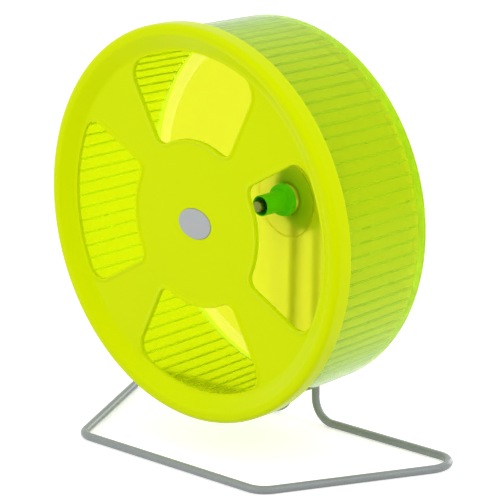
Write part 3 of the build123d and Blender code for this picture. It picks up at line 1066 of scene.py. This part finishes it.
# %% Make the wire stand
wire_low, wire_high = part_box("wire_stand")
wire_radius = 2.9
post_x, post_foot_x = 10.5, 12.9
post_lean = 6.7
post_bend_height = -27.5
front_corner_x = 89.25
rear_corner_x = 160.6
rear_bend, front_bend = 17.0, 16.5
post_depth = (wire_high.y - axle_place.y) / MM - wire_radius
rail_depth = (wire_low.y - axle_place.y) / MM + wire_radius
rail_height = wire_radius - axle_place.z / MM
post_end = (wire_high.z - axle_place.z) / MM
foot_depth = post_depth - post_lean
wire_route = [
    ((-post_x, post_depth, post_end), 0),
    ((-post_x, post_depth, post_bend_height), rear_bend),
    ((-post_foot_x, foot_depth, rail_height), rear_bend),
    ((-rear_corner_x, foot_depth, rail_height), rear_bend),
    ((-front_corner_x, rail_depth, rail_height), front_bend),
    ((front_corner_x, rail_depth, rail_height), front_bend),
    ((rear_corner_x, foot_depth, rail_height), rear_bend),
    ((post_foot_x, foot_depth, rail_height), rear_bend),
    ((post_x, post_depth, post_bend_height), rear_bend),
    ((post_x, post_depth, post_end), 0),
]
bend_steps, wire_sides, wire_fold = 20, 32, 40.0
wire_sizes = {"Wire Radius": "NodeSocketFloat", "Sides": "NodeSocketInt"}
wire_tree, given = new_tree("bent wire", wire_sizes)
corner_bend = add_node(wire_tree, "GeometryNodeInputRadius")
bent = add_node(
    wire_tree,
    "GeometryNodeFilletCurve",
    {"Curve": given["Geometry"], "Count": bend_steps, "Radius": corner_bend.outputs["Radius"]},
    mode="POLY",
)
even = add_node(
    wire_tree, "GeometryNodeSetCurveRadius", {"Curve": bent.outputs["Curve"], "Radius": 1.0}
)
wire_round = add_node(
    wire_tree,
    "GeometryNodeCurvePrimitiveCircle",
    {"Resolution": given["Sides"], "Radius": given["Wire Radius"]},
)
wire = add_node(
    wire_tree,
    "GeometryNodeCurveToMesh",
    {
        "Curve": even.outputs["Curve"],
        "Profile Curve": wire_round.outputs["Curve"],
        "Fill Caps": True,
    },
)
placed_wire = add_node(
    wire_tree, "GeometryNodeTransform", {"Geometry": wire.outputs["Mesh"], "Translation": axle_place}
)
end_tree(wire_tree, given, placed_wire.outputs["Geometry"], wire_fold)
route = curve_of([corner for corner, bend in wire_route], False)
for spot, (corner, bend) in zip(route.data.splines[0].points, wire_route):
    spot.radius = bend * MM
wire_values = {"Wire Radius": wire_radius * MM, "Sides": wire_sides}
wire_stand = run_tree("bent_wire_stand", wire_tree, route, powder_coat, wire_values)
dress(wire_stand, "wire_stand", "stand")

# %% [markdown]
# ## The pieces that stay as engineered
#
# Bracket, screws, nut, washers, axle, spacers and bearings already have the right shape. Each gets
# the finish of its real material; the axle's steel also carries painted shade and a painted green
# reflection.

# %% Give the engineered pieces their finish
finishes = {
    "green_moulding": green_abs,
    "steel": bright_steel,
    "spacer": turned_aluminium,
    "nylon": natural_nylon,
}
slot_of = {row["node"]: row["material_slot"] for row in frame["record"]["subparts"]}
dressed = 0
for name, node in frame["nodes"].items():
    if node.hide_render:
        continue
    node.data.materials.clear()
    # The axle takes the steel with painted shade and a painted green reflection.
    node.data.materials.append(axle_steel_painted_shade if name == "axle" else finishes[slot_of[name]])
    dressed += 1
print("engineered pieces with a finish:", dressed)

# %% [markdown]
# ## The studio
#
# The photograph is a catalogue picture: a pure white ground, soft light from all round and no hard
# shadow. The world gives even light, white to the camera and to gloss.


# %% Light the studio
def seen_directly(tree):
    """1 for rays from the camera, a mirror or clear plastic, and 0 for light on its way."""
    rays = add_node(tree, "ShaderNodeLightPath").outputs
    shiny = add_node(
        tree,
        "ShaderNodeMath",
        {0: rays["Is Glossy Ray"], 1: rays["Is Transmission Ray"]},
        operation="MAXIMUM",
    )
    return add_node(
        tree, "ShaderNodeMath", {0: rays["Is Camera Ray"], 1: shiny.outputs[0]}, operation="MAXIMUM"
    ).outputs[0]


scene = bpy.context.scene
world = bpy.data.worlds.new("white studio")
scene.world = world
world_tree = empty_tree(world)
room_light = 0.82
strength = add_node(
    world_tree,
    "ShaderNodeMapRange",
    {"Value": seen_directly(world_tree), "To Min": room_light, "To Max": 1.0},
)
white = (1, 1, 1, 1)
backdrop = add_node(
    world_tree, "ShaderNodeBackground", {"Color": white, "Strength": strength.outputs["Result"]}
)
add_node(world_tree, "ShaderNodeOutputWorld", {"Surface": backdrop.outputs["Background"]})
print("the room's light is", room_light)

# %% [markdown]
# ## The lamps
#
# Even light alone would leave the wheel flat. Two large lamps, at the front left and at the right,
# shape the rims, and a third behind lights the drum through its back. They are wide, so they throw
# no hard shadow.

# %% Hang the lamps
wheel_middle = Vector((0, 0, axle_place.z))
lamp_distance = 2.2


def direction_to(azimuth, elevation):
    """The direction from the wheel to a place round it. Azimuth 0 is in front of the cover."""
    side, up = math.radians(azimuth), math.radians(elevation)
    return Vector((math.sin(side) * math.cos(up), -math.cos(side) * math.cos(up), math.sin(up)))


def soft_lamp(name, azimuth, elevation, width, power):
    """A square area lamp that faces the wheel."""
    data = bpy.data.lights.new(name, "AREA")
    data.size = width
    data.energy = power
    lamp = bpy.data.objects.new(name, data)
    away = direction_to(azimuth, elevation)
    lamp.location = wheel_middle + away * lamp_distance
    lamp.rotation_euler = away.to_track_quat("Z", "Y").to_euler()
    scene.collection.objects.link(lamp)


soft_lamp("lamp_front_left", -20, 20, 1.6, 11)
soft_lamp("lamp_right", 95, 35, 1.4, 10)
soft_lamp("lamp_behind", 180, 8, 1.4, 15)

# %% [markdown]
# ## The floor
#
# The ground of the photograph is pure white. A light grey floor with some light of its own looks
# white where the lamps reach it and keeps a faint shadow. Its own light counts only where it is
# seen directly, so it doesn't light the wheel too much from below.

# %% Lay the floor
floor_mesh = bpy.data.meshes.new("floor")
floor_half = 6.0
paper_grey, paper_glow = 0.75, 0.55
floor_signs = [(-1, -1), (1, -1), (1, 1), (-1, 1)]
floor_corners = [(x * floor_half, y * floor_half, 0) for x, y in floor_signs]
floor_mesh.from_pydata(floor_corners, [], [(0, 1, 2, 3)])
floor = bpy.data.objects.new("floor", floor_mesh)
scene.collection.objects.link(floor)
floor_paint = bpy.data.materials.new("white studio floor")
floor_tree = empty_tree(floor_paint)
paper_colour = (paper_grey, paper_grey, paper_grey, 1)
paper = add_node(floor_tree, "ShaderNodeBsdfDiffuse", {"Color": paper_colour})
own_light = add_node(
    floor_tree,
    "ShaderNodeMapRange",
    {"Value": seen_directly(floor_tree), "To Min": 0.0, "To Max": paper_glow},
)
glow = add_node(
    floor_tree, "ShaderNodeEmission", {"Color": white, "Strength": own_light.outputs["Result"]}
)
floor_look = add_node(
    floor_tree, "ShaderNodeAddShader", {0: paper.outputs["BSDF"], 1: glow.outputs["Emission"]}
)
add_node(floor_tree, "ShaderNodeOutputMaterial", {"Surface": floor_look.outputs["Shader"]})
floor_mesh.materials.append(floor_paint)
print("floor side in metres", 2 * floor_half)

# %% [markdown]
# ## The camera
#
# The view was worked out from the photograph: the ellipses of the rim and of the label give the
# direction, the wire's corners give the distance. The camera stands to the front right, a little
# above the wheel, and is rolled by just over one degree.

# %% Set the camera
view_azimuth, view_elevation, view_roll = 44.945, 15.483, -1.1034
view_distance = 2.0905
view_target = Vector((0.01135, -0.00044, 0.14232))
towards_camera = direction_to(view_azimuth, view_elevation)
camera_data = bpy.data.cameras.new("camera")
camera_data.lens = 216
camera_data.sensor_width = 36
camera = bpy.data.objects.new("camera", camera_data)
scene.collection.objects.link(camera)
camera.location = view_target + towards_camera * view_distance
camera.rotation_mode = "QUATERNION"
roll = Quaternion((0, 0, 1), math.radians(view_roll))
camera.rotation_quaternion = (-towards_camera).to_track_quat("-Z", "Y") @ roll
scene.camera = camera
scene.view_settings.view_transform = "Standard"
print("camera at", [round(c, 4) for c in camera.location])

# %% [markdown]
# ## The end
#
# The scene is brought up to date.

# %% Finish the scene
bpy.context.view_layer.update()
